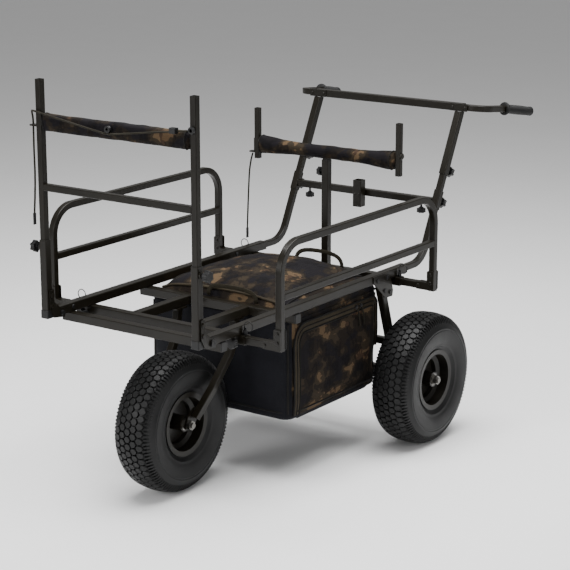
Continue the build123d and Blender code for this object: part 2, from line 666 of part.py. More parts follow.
def handle_side_bars():
    end = RAIL_Y + MID / 2
    x, top = HANDLE_TOP
    route = side_bar_route()
    side_bar = bent_tube(route, 42, SLIM, SLIM_WALL, (1, 0, 0))
    face = x + MID / 2
    plate = block((face, face + PLATE), (end - 40, end + 18), (top - MID / 2 + 0.5, top + MID / 2))
    plate = fillet(plate.edges().filter_by(Axis.X), 2.0)
    screws = [bolt((x + MID / 2 + PLATE, y, top), (1, 0, 0), 4.0) for y in (end + 10, end - 32)]
    pieces = both(side_bar) + both(plate)
    for screw in screws:
        pieces += both(screw)
    return pieces


def handle_grips():
    """Ribbed rubber grips with a round hand guard at the front."""
    top = HANDLE_TOP[1]
    tilt, splay = radians(GRIP_TILT), radians(GRIP_SPLAY)
    axis = Vector(-cos(tilt) * cos(splay), cos(tilt) * sin(splay), -sin(tilt))
    start = Vector(GRIP_START_X, GRIP_BEND_Y + 4, top - GRIP_DROP) - axis * 3
    plane = Plane(origin=tuple(start), z_dir=tuple(axis))
    guard = extrude(plane * Circle(GUARD_R), amount=6)
    guard = fillet(guard.edges(), 1.8)
    grip = extrude(plane * Circle(GRIP_R), amount=GRIP_LENGTH, taper=-0.8)
    grip = fillet(grip.faces().sort_by(Axis(tuple(start), tuple(axis)))[-1].edges(), 4)
    room = bent_tube(side_bar_route(), 42, SLIM + 0.1, SLIM / 2 - 2, (1, 0, 0))
    return both(guard + grip - room)


def rear_bar():
    collar = tube(handle_point(COLLAR_Z[0]), handle_point(COLLAR_Z[1]), MID, MID_WALL)
    mid_z = sum(COLLAR_Z) / 2
    collar = knob_hole(collar, mid_z)
    x = handle_point(REAR_BAR_Z)[0]
    inner = RAIL_Y - MID / 2
    tie = tube((x, -inner, REAR_BAR_Z), (x, inner, REAR_BAR_Z), REAR_BAR, MID_WALL, (1, 0, 0))
    for y in (-T_KNOB_Y, T_KNOB_Y):
        tie -= bar((x, y, REAR_BAR_Z - REAR_BAR), (x, y, REAR_BAR_Z), 4.3)
    return both(collar) + [tie]


def rod_holder():
    x = handle_point(REAR_BAR_Z)[0] + REAR_BAR / 2 + HOLDER / 2
    low = REAR_BAR_Z - HOLDER_HEIGHT / 2
    holder = tube((x, -4, low), (x, -4, low + HOLDER_HEIGHT), HOLDER, SLEEVE_WALL)
    rivets = [bolt((x + HOLDER / 2, y - 4, REAR_BAR_Z - 2), (1, 0, 0), 3.0) for y in (-7, 7)]
    return [holder] + rivets


# ---------------------------------------------------------------- rod rest

def rest_post():
    post = tube((REST_X, 0, CROSS_BOTTOM), (REST_X, 0, REST_POST_TOP), MID, MID_WALL)
    post -= bar((REST_X, -MID, REST_KNOB_Z), (REST_X, -SLIM / 2, REST_KNOB_Z), 4.3)
    screws = [bolt((REST_X - MID / 2, 0, z), (-1, 0, 0), 5.0) for z in (463, 476)]
    return [post] + screws


def rest_tee():
    stem = tube((REST_X, 0, REST_STEM_BOTTOM), (REST_X, 0, REST_PAD_Z - POST / 2), SLIM, SLIM_WALL)
    inner = REST_END_Y - POST / 2
    cross = tube((REST_X, -inner, REST_PAD_Z), (REST_X, inner, REST_PAD_Z), POST, SLIM_WALL, (1, 0, 0))
    ends = both(tube((REST_X, REST_END_Y, REST_END[0]), (REST_X, REST_END_Y, REST_END[1]), POST, SLIM_WALL))
    outer = -REST_END_Y - POST / 2
    hook = block((REST_X - 8, REST_X + 6), (outer - 3, outer), (782, 826))
    hook += block((REST_X - 8, REST_X + 6), (outer - 20, outer), (782, 786))
    hook -= bar((REST_CORD_X, -267, 775), (REST_CORD_X, -267, 795), 3.2)
    screw = bolt((REST_X, REST_END_Y + POST / 2, REST_PAD_Z + 14), (0, 1, 0), 9.0)
    return [stem, cross, hook, screw] + ends


def rest_pad():
    half = REST_END_Y - POST / 2 - 1
    waist, flare = 18.0, 27.0
    plane = Plane(origin=(REST_X, 0, REST_PAD_Z), x_dir=(0, 1, 0), z_dir=(1, 0, 0))
    outline = [
        Line((-half, 11.6), (-half, flare)),
        ThreePointArc((-half, flare), (-half + 40, flare - 3), (-half + 90, waist + 2)),
        ThreePointArc((-half + 90, waist + 2), (0, waist), (half - 90, waist + 2)),
        ThreePointArc((half - 90, waist + 2), (half - 40, flare - 3), (half, flare)),
        Line((half, flare), (half, 11.6)),
        Line((half, 11.6), (-half, 11.6)),
    ]
    pad = revolve(make_face(plane * Curve(outline)), axis=Axis((REST_X, 0, REST_PAD_Z), (0, 1, 0)))
    notch = block((REST_X - 12, REST_X + 12), (-12, 12), (REST_PAD_Z - 40, REST_PAD_Z))
    return [pad - notch]


# ---------------------------------------------------------------- bag

def bag_body():
    body = block(BAG_X, (-BAG_Y, BAG_Y), BAG_Z)
    body = fillet(body.edges().filter_by(Axis.Z), 22)
    return [fillet(body.faces().sort_by(Axis.Z)[0].edges(), 18)]


def bag_lid():
    """Crowned lid between the rails."""
    low, high = LID_Z
    plane = Plane(origin=(LID_X[0], 0, 0), x_dir=(0, 1, 0), z_dir=(1, 0, 0))
    arc = ThreePointArc((-LID_Y, high), (0, high + LID_CROWN), (LID_Y, high))
    outline = [Line((-LID_Y, low), (-LID_Y, high)), arc, Line((LID_Y, high), (LID_Y, low)),
               Line((LID_Y, low), (-LID_Y, low))]
    lid = extrude(make_face(plane * Curve(outline)), amount=LID_X[1] - LID_X[0], dir=(1, 0, 0))
    lid = fillet(lid.edges().filter_by(Axis.Z), 18)
    return [lid]


def carry_loop(x, foot, top):
    """Webbing loop that stands against one end of the lid."""
    inner, outer = STRAP_HALF - 12, STRAP_HALF
    rise = top - 20
    plane = Plane(origin=(x, STRAP_Y, 0), x_dir=(0, 1, 0), z_dir=(1, 0, 0))
    outline = [
        Line((-outer, foot), (-outer + 6, rise)),
        ThreePointArc((-outer + 6, rise), (0, top), (outer - 6, rise)),
        Line((outer - 6, rise), (outer, foot)),
        Line((outer, foot), (inner, foot)),
        Line((inner, foot), (inner - 5, rise - 6)),
        ThreePointArc((inner - 5, rise - 6), (0, top - 10), (-inner + 5, rise - 6)),
        Line((-inner + 5, rise - 6), (-inner, foot)),
        Line((-inner, foot), (-outer, foot)),
    ]
    return extrude(make_face(plane * Curve(outline)), amount=STRAP_THICK, dir=(1, 0, 0))


def bag_straps():
    """Carry loops at the rear and front edges of the lid."""
    return [carry_loop(LID_X[0] - STRAP_THICK - GAP, 486.0, 545.0), carry_loop(LID_X[1] + GAP, 484.0, 524.0)]


# ---------------------------------------------------------------- knobs

def side_name(side):
    return "left" if side > 0 else "right"


def write_knobs():
    back = (HANDLE_BACK[0], 0, HANDLE_BACK[1])
    for side in (1, -1):
        name = side_name(side)
        start = side * (RAIL_Y + SLIM / 2 + GAP)
        save(f"panel_knob_{name}", [lobed_knob((PANEL_X, start, PANEL_KNOB_Z), (0, side, 0), 18)])
        for place, x in (("front", SLEEVE_FRONT_X), ("rear", SLEEVE_REAR_X)):
            at = (x + ARM / 2 + GAP, side * knob_offset(x), KNOB_Z)
            save(f"outrigger_knob_{place}_{name}", [lobed_knob(at, (1, 0, 0), 16, head_r=15.5)])
            save(f"pull_pin_{place}_{name}", pull_pin(x, side))
        for node, z in (("handle_knob", HANDLE_KNOB_Z), ("rear_bar_knob", sum(COLLAR_Z) / 2)):
            at = handle_point(z, side * RAIL_Y, SLIM / 2 + GAP)
            save(f"{node}_{name}", [lobed_knob(at, back, 12)])
        x = handle_point(REAR_BAR_Z)[0]
        at = (x, side * T_KNOB_Y, REAR_BAR_Z - REAR_BAR / 2 + MID_WALL)
        save(f"rear_bar_screw_{name}", [lobed_knob(at, (0, 0, -1), 17, head_r=13, head_t=13, stud_r=3.0)])
    at = (REST_X, -SLIM / 2 - GAP, REST_KNOB_Z)
    save("rest_knob", [lobed_knob(at, (0, -1, 0), 9, head_r=13, head_t=11)])


def write_gates():
    for side in (1, -1):
        name = side_name(side)
        for node, pieces in (("hoop", gate_hoop()), ("arms", gate_arms()), ("brackets", gate_brackets())):
            if side < 0:
                pieces = [mirror(piece, about=Plane.XZ) for piece in pieces]
            save(f"gate_{name}_{node}", pieces)


def write_wheels():
    places = (("front", FRONT_X, 0.0), ("rear_left", REAR_X, REAR_Y), ("rear_right", REAR_X, -REAR_Y))
    all_bearings = []
    for name, x, y in places:
        save(f"tyre_{name}", [tyre(x, y)])
        save(f"rim_{name}", [rim(x, y)])
        all_bearings += bearings(x, y)
    save("wheel_bearings", all_bearings)
    save("wheel_axles", wheel_axles())


def main():
    os.makedirs("parts", exist_ok=True)
    for node, pieces in (
        ("side_rails", side_rails()),
        ("deck_tubes", deck_tubes()),
        ("outrigger_sleeves", outrigger_sleeves()),
        ("front_fork", front_fork()),
        ("rear_axle_frame", rear_axle_frame()),
        ("frame_bolts_and_caps", frame_bolts_and_caps()),
        ("panel_sleeves", panel_sleeves()),
        ("panel_foot_caps", panel_foot_caps()),
        ("panel_hinge_plates", panel_hinge_plates()),
        ("panel_inner_frame", panel_inner_frame()),
        ("panel_top_bar", panel_top_bar()),
        ("panel_pad", panel_pad()),
        ("shock_cord", [cord("shock_cord", SHOCK_CORD, SHOCK_RADII)]),
        ("shock_cord_fittings", shock_cord_fittings()),
        ("shock_cord_tag", tag(SHOCK_CORD)),
        ("handle_lower_tubes", handle_lower_tubes()),
        ("handle_frame", handle_frame()),
        ("handle_side_bars", handle_side_bars()),
        ("handle_grips", handle_grips()),
        ("rear_bar", rear_bar()),
        ("rod_holder", rod_holder()),
        ("rest_post", rest_post()),
        ("rest_tee", rest_tee()),
        ("rest_pad", rest_pad()),
        ("rest_cord", [cord("rest_cord", REST_CORD)]),
        ("rest_cord_tag", tag(REST_CORD)),
        ("bag_body", bag_body()),
        ("bag_lid", bag_lid()),
        ("bag_straps", bag_straps()),
    ):
        save(node, pieces)
    write_gates()
    write_wheels()
    write_knobs()


main()
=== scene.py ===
from math import cos, hypot, pi, radians, sin

import bmesh
import bpy
from mathutils import Matrix, Vector, noise


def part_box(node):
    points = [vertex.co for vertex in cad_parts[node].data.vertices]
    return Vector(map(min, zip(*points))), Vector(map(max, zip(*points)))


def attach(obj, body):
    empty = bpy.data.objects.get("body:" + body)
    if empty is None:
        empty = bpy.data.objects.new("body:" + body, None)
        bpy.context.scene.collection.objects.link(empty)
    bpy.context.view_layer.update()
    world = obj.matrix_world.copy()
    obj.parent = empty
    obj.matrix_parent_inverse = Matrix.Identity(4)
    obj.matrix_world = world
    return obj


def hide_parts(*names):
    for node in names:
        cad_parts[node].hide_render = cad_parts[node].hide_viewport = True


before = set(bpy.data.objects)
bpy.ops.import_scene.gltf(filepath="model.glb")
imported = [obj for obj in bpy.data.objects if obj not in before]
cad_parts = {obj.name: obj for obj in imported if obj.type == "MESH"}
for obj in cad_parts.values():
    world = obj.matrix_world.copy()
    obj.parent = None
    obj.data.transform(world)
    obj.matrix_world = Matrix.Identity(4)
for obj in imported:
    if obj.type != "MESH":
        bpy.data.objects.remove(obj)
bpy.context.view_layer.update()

# ---------------------------------------------------------------- sizes, in metres

WHEELS = (("front", "front_wheel"), ("rear_left", "rear_wheel_left"), ("rear_right", "rear_wheel_right"))
TREAD_DEPTH = 0.0055
TREAD_PITCH = 0.0205
TREAD_GROOVE = 0.0022
TREAD_ROWS = 5
SHOULDER_RIBS = 110

BAG_LOW, BAG_HIGH = (Vector(c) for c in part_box("bag_body"))
LID_LOW, LID_HIGH = (Vector(c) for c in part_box("bag_lid"))
PAD_LOW, PAD_HIGH = (Vector(c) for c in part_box("panel_pad"))
REST_LOW, REST_HIGH = (Vector(c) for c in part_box("rest_pad"))

CORD_DIAMETER = 0.005
PANEL_CORD_X = 0.771
SHOCK_CORD = [
    (PANEL_CORD_X - 0.003, 0.241, 1.0285),
    (PANEL_CORD_X - 0.0004, 0.026, 0.9996),
    (PANEL_CORD_X, -0.006, 0.996),
    (PANEL_CORD_X - 0.0006, -0.038, 0.9999),
    (PANEL_CORD_X - 0.0052, -0.232, 1.0272),
    (PANEL_CORD_X - 0.006, -0.262, 1.032),
    (PANEL_CORD_X - 0.020, -0.277, 1.027),
    (PANEL_CORD_X - 0.028, -0.280, 1.006),
    (PANEL_CORD_X - 0.028, -0.2805, 0.976),
    (PANEL_CORD_X - 0.029, -0.282, 0.922),
    (PANEL_CORD_X - 0.028, -0.280, 0.862),
    (PANEL_CORD_X - 0.027, -0.282, 0.806),
    (PANEL_CORD_X - 0.028, -0.287, 0.758),
]
REST_CORD_X = -0.1855
REST_CORD = [
    (REST_CORD_X, -0.267, 0.778),
    (REST_CORD_X, -0.273, 0.762),
    (REST_CORD_X, -0.280, 0.724),
    (REST_CORD_X + 0.001, -0.2825, 0.668),
    (REST_CORD_X, -0.2865, 0.606),
    (REST_CORD_X + 0.001, -0.288, 0.548),
]


# ---------------------------------------------------------------- material nodes

def new_material(name, roughness=0.5, metallic=0.0, **extra):
    mat = bpy.data.materials.new(name)
    mat.use_nodes = True
    shader = mat.node_tree.nodes["Principled BSDF"]
    shader.inputs["Roughness"].default_value = roughness
    shader.inputs["Metallic"].default_value = metallic
    for key, value in extra.items():
        shader.inputs[key.replace("_", " ")].default_value = value
    return mat, mat.node_tree, shader


def node(tree, kind, **settings):
    made = tree.nodes.new(kind)
    for key, value in settings.items():
        if hasattr(made, key):
            setattr(made, key, value)
        else:
            made.inputs[key.replace("_", " ")].default_value = value
    return made


def place(tree, stretch=(1, 1, 1)):
    """Object position, stretched, as the coordinate of a pattern."""
    coords = node(tree, "ShaderNodeTexCoord")
    mapping = node(tree, "ShaderNodeMapping")
    mapping.inputs["Scale"].default_value = stretch
    tree.links.new(coords.outputs["Object"], mapping.inputs["Vector"])
    return mapping.outputs["Vector"]


def noise_value(tree, scale, detail=4.0, stretch=(1, 1, 1), roughness=0.55):
    made = node(tree, "ShaderNodeTexNoise", Scale=scale, Detail=detail, Roughness=roughness)
    tree.links.new(place(tree, stretch), made.inputs["Vector"])
    return made.outputs["Fac"]


def ramp(tree, value, stops, constant=False):
    made = node(tree, "ShaderNodeValToRGB")
    made.color_ramp.interpolation = "CONSTANT" if constant else "LINEAR"
    elements = made.color_ramp.elements
    while len(elements) < len(stops):
        elements.new(0.5)
    for element, (at, colour) in zip(elements, stops):
        element.position = at
        element.color = (*colour, 1) if len(colour) == 3 else colour
    tree.links.new(value, made.inputs["Fac"])
    return made.outputs["Color"]


def mix(tree, factor, first, second, blend="MIX"):
    made = node(tree, "ShaderNodeMix", data_type="RGBA", blend_type=blend)
    for socket, value in ((made.inputs[0], factor), (made.inputs[6], first), (made.inputs[7], second)):
        if hasattr(value, "links"):
            tree.links.new(value, socket)
        elif isinstance(value, tuple):
            socket.default_value = (*value, 1)
        else:
            socket.default_value = value
    return made.outputs[2]


def bump(tree, shader, height, strength, distance=0.001):
    made = node(tree, "ShaderNodeBump", Strength=strength, Distance=distance)
    tree.links.new(height, made.inputs["Height"])
    tree.links.new(made.outputs["Normal"], shader.inputs["Normal"])


def spread(tree, shader, value, low, high):
    """Roughness that varies from low to high with a pattern."""
    made = node(tree, "ShaderNodeMapRange")
    made.inputs["To Min"].default_value = low
    made.inputs["To Max"].default_value = high
    tree.links.new(value, made.inputs["Value"])
    tree.links.new(made.outputs["Result"], shader.inputs["Roughness"])


def paint(name, colour, light, roughness):
    """Semi-gloss powder coat with a fine orange peel and slight tone changes."""
    mat, tree, shader = new_material(name, roughness, Specular_IOR_Level=0.20, Coat_Weight=0.08,
                                     Coat_Roughness=0.1)
    tone = ramp(tree, noise_value(tree, 9, 5), ((0.35, colour), (0.7, light)))
    scuffs = ramp(tree, noise_value(tree, 34, 9, (1, 1, 0.3), 0.72),
                  ((0.68, (0, 0, 0)), (0.76, (0.35, 0.35, 0.35))))
    tree.links.new(mix(tree, scuffs, tone, (0.030, 0.027, 0.022)), shader.inputs["Base Color"])
    spread(tree, shader, noise_value(tree, 26, 6), roughness - 0.05, roughness + 0.09)
    bump(tree, shader, noise_value(tree, 900, 3), 0.10, 0.0004)
    return mat


def plastic(name, colour, roughness, grain):
    mat, tree, shader = new_material(name, roughness, Specular_IOR_Level=0.3)
    tone = ramp(tree, noise_value(tree, 30, 4),
                ((0.3, colour), (0.75, tuple(c * 1.4 + 0.001 for c in colour))))
    tree.links.new(tone, shader.inputs["Base Color"])
    spread(tree, shader, noise_value(tree, 45, 5), roughness - 0.06, roughness + 0.14)
    bump(tree, shader, noise_value(tree, 1400, 2), grain, 0.0004)
    return mat


def zinc(name):
    """Darkened zinc plate with turned marks."""
    mat, tree, shader = new_material(name, 0.3, 0.95)
    tone = ramp(tree, noise_value(tree, 40, 5), ((0.3, (0.10, 0.095, 0.085)), (0.7, (0.19, 0.185, 0.175))))
    tree.links.new(tone, shader.inputs["Base Color"])
    spread(tree, shader, noise_value(tree, 70, 6), 0.22, 0.42)
    bump(tree, shader, noise_value(tree, 600, 3, (1, 6, 1)), 0.12, 0.0003)
    return mat


def tyre_rubber(name, colour, roughness):
    mat, tree, shader = new_material(name, roughness, Specular_IOR_Level=0.24)
    dust = ramp(tree, noise_value(tree, 14, 7), ((0.45, (0, 0, 0)), (0.75, (0.35, 0.35, 0.35))))
    tone = mix(tree, dust, colour, tuple(c * 1.7 + 0.002 for c in colour))
    tree.links.new(tone, shader.inputs["Base Color"])
    spread(tree, shader, noise_value(tree, 22, 6), roughness - 0.08, roughness + 0.15)
    bump(tree, shader, noise_value(tree, 700, 4), 0.25, 0.0005)
    return mat


def weave_height(tree, pitch):
    """Plain weave from crossed bands along the three directions."""
    total = None
    for axis in ("X", "Y", "Z"):
        wave = node(tree, "ShaderNodeTexWave", wave_type="BANDS", bands_direction=axis,
                    Scale=1.0 / pitch / 20.0 * pi)
        tree.links.new(place(tree), wave.inputs["Vector"])
        if total is None:
            total = wave.outputs["Fac"]
            continue
        add = node(tree, "ShaderNodeMath", operation="ADD")
        tree.links.new(total, add.inputs[0])
        tree.links.new(wave.outputs["Fac"], add.inputs[1])
        total = add.outputs[0]
    return total


def fabric(name, colour_socket, pitch=0.0011, strength=0.35, roughness=0.85, sheen=0.01):
    mat, tree, shader = new_material(name, roughness, 0.0, Sheen_Weight=sheen, Sheen_Roughness=0.5,
                                     Specular_IOR_Level=0.12)
    height = weave_height(tree, pitch)
    slub = ramp(tree, noise_value(tree, 260, 4), ((0.3, (0.82, 0.82, 0.82)), (0.7, (1.1, 1.1, 1.1))))
    tree.links.new(mix(tree, 1.0, colour_socket(tree), slub, "MULTIPLY"), shader.inputs["Base Color"])
    spread(tree, shader, noise_value(tree, 120, 4), roughness - 0.1, roughness + 0.08)
    bump(tree, shader, height, strength, 0.0005)
    return mat


def camo_colour(tree, scale=12.5):
    """Ragged patches of near-black, dark purple-brown and dark brown, with a few small tan ones."""
    patch = ramp(
        tree,
        noise_value(tree, scale, 3, (1.0, 1.25, 1.6), 0.52),
        ((0.0, (0.0040, 0.0031, 0.0043)), (0.45, (0.0090, 0.0062, 0.0042)), (0.53, (0.0210, 0.0150, 0.0088)),
         (0.60, (0.070, 0.045, 0.024))),
        constant=True,
    )
    shade = ramp(
        tree,
        noise_value(tree, scale * 1.6, 3, (1.3, 1.0, 0.8), 0.52),
        ((0.0, (1, 1, 1)), (0.54, (0.42, 0.38, 0.42)), (0.62, (0.85, 0.80, 0.75))),
        constant=True,
    )
    return mix(tree, 1.0, patch, shade, "MULTIPLY")


def plain_colour(low, high):
    def colour(tree):
        return ramp(tree, noise_value(tree, 18, 5), ((0.3, low), (0.7, high)))
    return colour


def webbing(name, low, high, pitch=0.0022):
    return fabric(name, plain_colour(low, high), pitch, 0.6, 0.75, 0.01)


PAINT = paint("frame_paint", (0.0050, 0.0040, 0.0024), (0.0074, 0.0060, 0.0036), 0.32)
RIM_PAINT = paint("rim_paint", (0.0050, 0.0042, 0.0029), (0.0078, 0.0064, 0.0042), 0.38)
BLACK = plastic("black_plastic", (0.0026, 0.0026, 0.0028), 0.40, 0.12)
RUBBER = plastic("grip_rubber", (0.0024, 0.0024, 0.0025), 0.55, 0.3)
ZINC = zinc("zinc_plate")
TYRE = tyre_rubber("tyre_rubber", (0.0026, 0.0026, 0.0027), 0.44)
CAMO = fabric("camo_fabric", camo_colour)
NAVY = fabric("navy_fabric", plain_colour((0.0032, 0.0033, 0.0050), (0.0056, 0.0058, 0.0082)),
              0.0014, 0.45, 0.8)
PIPING = fabric("dark_piping", plain_colour((0.0035, 0.0033, 0.0032), (0.0080, 0.0072, 0.0065)),
                0.0009, 0.4, 0.7)
OLIVE = webbing("olive_webbing", (0.012, 0.010, 0.006), (0.022, 0.018, 0.010))
ZIP_TAPE = webbing("zip_tape", (0.020, 0.015, 0.009), (0.034, 0.027, 0.016), 0.0016)
BRAID = webbing("braided_cord", (0.010, 0.009, 0.006), (0.022, 0.019, 0.013), 0.0013)

CAD_MATERIALS = (
    (("knob", "screw", "foot_caps", "fittings", "_tag", "frame_bolts", "pull_pin"), BLACK),
    (("axles", "bearings"), ZINC),
    (("rim_",), RIM_PAINT),
)


def cad_material(name):
    for words, mat in CAD_MATERIALS:
        if any(word in name for word in words):
            return mat
    return PAINT


def dress_cad():
    for name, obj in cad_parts.items():
        obj.data.materials.clear()
        obj.data.materials.append(cad_material(name))


# ---------------------------------------------------------------- mesh helpers

def build(name, verts, faces, mat, body):
    mesh = bpy.data.meshes.new(name)
    mesh.from_pydata([tuple(v) for v in verts], [], faces)
    mesh.materials.append(mat)
    mesh.update()
    bm = bmesh.new()
    bm.from_mesh(mesh)
    bmesh.ops.recalc_face_normals(bm, faces=bm.faces)
    bm.to_mesh(mesh)
    bm.free()
    for polygon in mesh.polygons:
        polygon.use_smooth = True
    obj = bpy.data.objects.new(name, mesh)
    bpy.context.scene.collection.objects.link(obj)
    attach(obj, body)
    return obj


def skin(rings, closed_ring=True, caps=True):
    """Faces that join rings of equal point counts, with both ends filled."""
    count = len(rings[0])
    verts = [p for ring in rings for p in ring]
    faces = []
    for i in range(len(rings) - 1):
        for j in range(count if closed_ring else count - 1):
            k = (j + 1) % count
            faces.append((i * count + j, i * count + k, (i + 1) * count + k, (i + 1) * count + j))
    if caps:
        faces.append(tuple(range(count)))
        faces.append(tuple(range((len(rings) - 1) * count, len(rings) * count)))
    return verts, faces


def apply_modifiers(obj):
    depsgraph = bpy.context.evaluated_depsgraph_get()
    made = bpy.data.meshes.new_from_object(obj.evaluated_get(depsgraph))
    obj.modifiers.clear()
    obj.data = made


def tube_along(name, points, radius, mat, body, closed=False):
    """Smooth piping or cord as a bevelled NURBS curve."""
    data = bpy.data.curves.new(name, "CURVE")
    data.dimensions = "3D"
    data.bevel_depth = radius
    data.bevel_resolution = 3
    data.resolution_u = 8
    data.use_fill_caps = True
    spline = data.splines.new("NURBS")
    spline.points.add(len(points) - 1)
    for target, point in zip(spline.points, points):
        target.co = (*point, 1.0)
    spline.use_cyclic_u = closed
    spline.order_u = 3
    spline.use_endpoint_u = not closed
    data.materials.append(mat)
    obj = bpy.data.objects.new(name, data)
    bpy.context.scene.collection.objects.link(obj)
    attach(obj, body)
    return obj


# ---------------------------------------------------------------- wheels

def crown_radius(y, radius):
    """Height of the tyre's surface over the axle, at y from its middle."""
    y = abs(y)
    if y < 0.038:
        return radius - 0.0045 * (y / 0.038) ** 2
    return radius - 0.0045 - (y - 0.038) * 0.34 - (y - 0.038) ** 2 * 30


def tyre_profile(radius, half):
    """Points (across, radius) from one bead to the other, with sidewall rings."""
    crown = [(-0.049 + i * 0.098 / 14) for i in range(15)]
    wall = [(0.0458, 0.0772), (0.0472, 0.0885), (0.0500, 0.0930), (0.0535, 0.0975), (0.0552, 0.0990),
            (0.0562, 0.1012), (0.0560, 0.1035), (0.0585, 0.1090), (0.0612, 0.1180), (0.0630, 0.1290),
            (half, 0.1380), (half, 0.1440), (half - 0.0012, 0.1455), (half - 0.0006, 0.1500),
            (half - 0.0026, 0.1520), (half - 0.0060, 0.1610), (0.0530, 0.1715)]
    left = [(-y, r) for y, r in wall]
    right = [(y, r) for y, r in reversed(wall)]
    return left + [(y, crown_radius(y, radius) - TREAD_DEPTH) for y in crown] + right


def wheel_point(centre, angle, across, radius):
    return (centre.x + radius * cos(angle), centre.y + across, centre.z + radius * sin(angle))


def tread_block(verts, faces, centre, angle, across, radius):
    """Scalloped six-sided block with a chamfered top, standing on the carcass."""
    base = len(verts)
    reach = 0.577 * (TREAD_PITCH - TREAD_GROOVE)
    corners = []
    for k in range(12):
        turn = pi / 6 + k * pi / 6
        stretch = 0.97 if k % 2 == 0 else 0.883
        corners.append((reach * stretch * cos(turn), reach * stretch * sin(turn)))
    for scale, drop in ((1.0, TREAD_DEPTH + 0.0006), (0.95, 0.0012), (0.84, 0.0)):
        for cu, cv in corners:
            y = across + cv * scale
            r = crown_radius(y, radius) - drop
            verts.append(wheel_point(centre, angle + cu * scale / radius, y, r))
    for level in range(2):
        for k in range(12):
            a, b = base + level * 12 + k, base + level * 12 + (k + 1) % 12
            faces.append((a, b, b + 12, a + 12))
    faces.append(tuple(base + 24 + k for k in range(12)))


def shoulder_rib(verts, faces, centre, angle, side, width, radius):
    """Short radial rib that runs over the tyre's shoulder."""
    base = len(verts)
    path = [(0.0475, radius - 0.0096), (0.0510, radius - 0.0122), (0.0545, radius - 0.0168), (0.0566, 0.1690),
            (0.0572, 0.1640)]
    for across, r in path:
        for offset, drop in ((-0.5, 0.005), (-0.36, 0.0), (0.36, 0.0), (0.5, 0.005)):
            turn = angle + offset * width / radius
            verts.append(wheel_point(centre, turn, side * (across - drop * 0.7), r - drop * 0.8))
    for i in range(len(path) - 1):
        for j in range(3):
            a = base + i * 4 + j
            faces.append((a, a + 1, a + 5, a + 4))
    faces.append((base, base + 1, base + 2, base + 3))
    last = base + (len(path) - 1) * 4
    faces.append((last, last + 1, last + 2, last + 3))


def make_tyre(place_name, body):
    low, high = (Vector(c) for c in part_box(f"tyre_{place_name}"))
    centre = (low + high) / 2
    radius = (high.z - low.z) / 2
    profile = tyre_profile(radius, (high.y - low.y) / 2 - 0.0002)
    turns = 120
    rings = [[wheel_point(centre, 2 * pi * i / turns, y, r) for y, r in profile] for i in range(turns)]
    verts, faces = skin(rings + [rings[0]], closed_ring=False, caps=False)
    around = round(2 * pi * radius / TREAD_PITCH)
    spacing = 0.866 * TREAD_PITCH
    for row in range(TREAD_ROWS):
        across = (row - (TREAD_ROWS - 1) / 2) * spacing
        for i in range(around):
            angle = 2 * pi * (i + 0.5 * (row % 2)) / around
            tread_block(verts, faces, centre, angle, across, radius)
    for side in (-1, 1):
        for i in range(SHOULDER_RIBS):
            angle = 2 * pi * (i + 0.25 * (side + 1)) / SHOULDER_RIBS
            shoulder_rib(verts, faces, centre, angle, side, 0.0062, radius)
    tyre = build(f"turf_tyre_{place_name}", verts, faces, TYRE, body)
    bm = bmesh.new()
    bm.from_mesh(tyre.data)
    bmesh.ops.remove_doubles(bm, verts=bm.verts, dist=1e-6)
    bmesh.ops.recalc_face_normals(bm, faces=bm.faces)
    bm.to_mesh(tyre.data)
    bm.free()
    sharp_by_angle(tyre, 35)
    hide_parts(f"tyre_{place_name}")
    return tyre


def sharp_by_angle(obj, degrees_limit):
    """Sharp shading wherever two faces meet at more than the limit."""
    mesh = obj.data
    bm = bmesh.new()
    bm.from_mesh(mesh)
    for edge in bm.edges:
        if len(edge.link_faces) == 2:
            edge.smooth = edge.calc_face_angle(0) < radians(degrees_limit)
    bm.to_mesh(mesh)
    bm.free()


# ---------------------------------------------------------------- soft goods

def box_ring(half_x, half_y, corner, count):
    """Rounded rectangle outline, evenly spaced by length, starting on the +X side."""
    straight_x, straight_y = half_x - corner, half_y - corner
    arc = corner * pi / 2
    total = 4 * (straight_x + straight_y) + 4 * arc
    points = []
    for i in range(count):
        s = total * i / count
        for k in range(4):
            side_len = 2 * (straight_y if k % 2 == 0 else straight_x)
            turn = Matrix.Rotation(k * pi / 2, 2)
            half = half_x if k % 2 == 0 else half_y
            if s < side_len:
                points.append(turn @ Vector((half, s - side_len / 2)))
                break
            s -= side_len
            if s < arc:
                a = s / corner
                points.append(turn @ Vector((half - corner + corner * cos(a),
                                             side_len / 2 + corner * sin(a))))
                break
            s -= arc
    return points


def soft_noise(point, scale, seed):
    return noise.noise(Vector(point) * scale + Vector((seed, seed * 1.7, seed * 0.6)))


def smoothstep(value, low, high):
    t = min(max((value - low) / (high - low), 0.0), 1.0)
    return t * t * (3 - 2 * t)


def cloth_settle(obj, pinned, frames, pressure, gravity, cap):
    """Short cloth simulation of a filled bag, applied to the mesh, with its movement capped."""
    start = [v.co.copy() for v in obj.data.vertices]
    group = obj.vertex_groups.new(name="pinned")
    group.add(pinned, 1.0, "REPLACE")
    modifier = obj.modifiers.new("Cloth", "CLOTH")
    settings = modifier.settings
    settings.quality = 6
    settings.mass = 0.25
    settings.tension_stiffness = 18
    settings.compression_stiffness = 12
    settings.bending_stiffness = 0.6
    settings.use_pressure = True
    settings.uniform_pressure_force = pressure
    settings.vertex_group_mass = "pinned"
    settings.effector_weights.gravity = gravity
    modifier.collision_settings.use_self_collision = False
    scene = bpy.context.scene
    for number in range(1, frames + 1):
        scene.frame_set(number)
    apply_modifiers(obj)
    scene.frame_set(1)
    for vertex, origin in zip(obj.data.vertices, start):
        move = vertex.co - origin
        if move.length > cap:
            vertex.co = origin + move * (cap / move.length)
    obj.vertex_groups.clear()


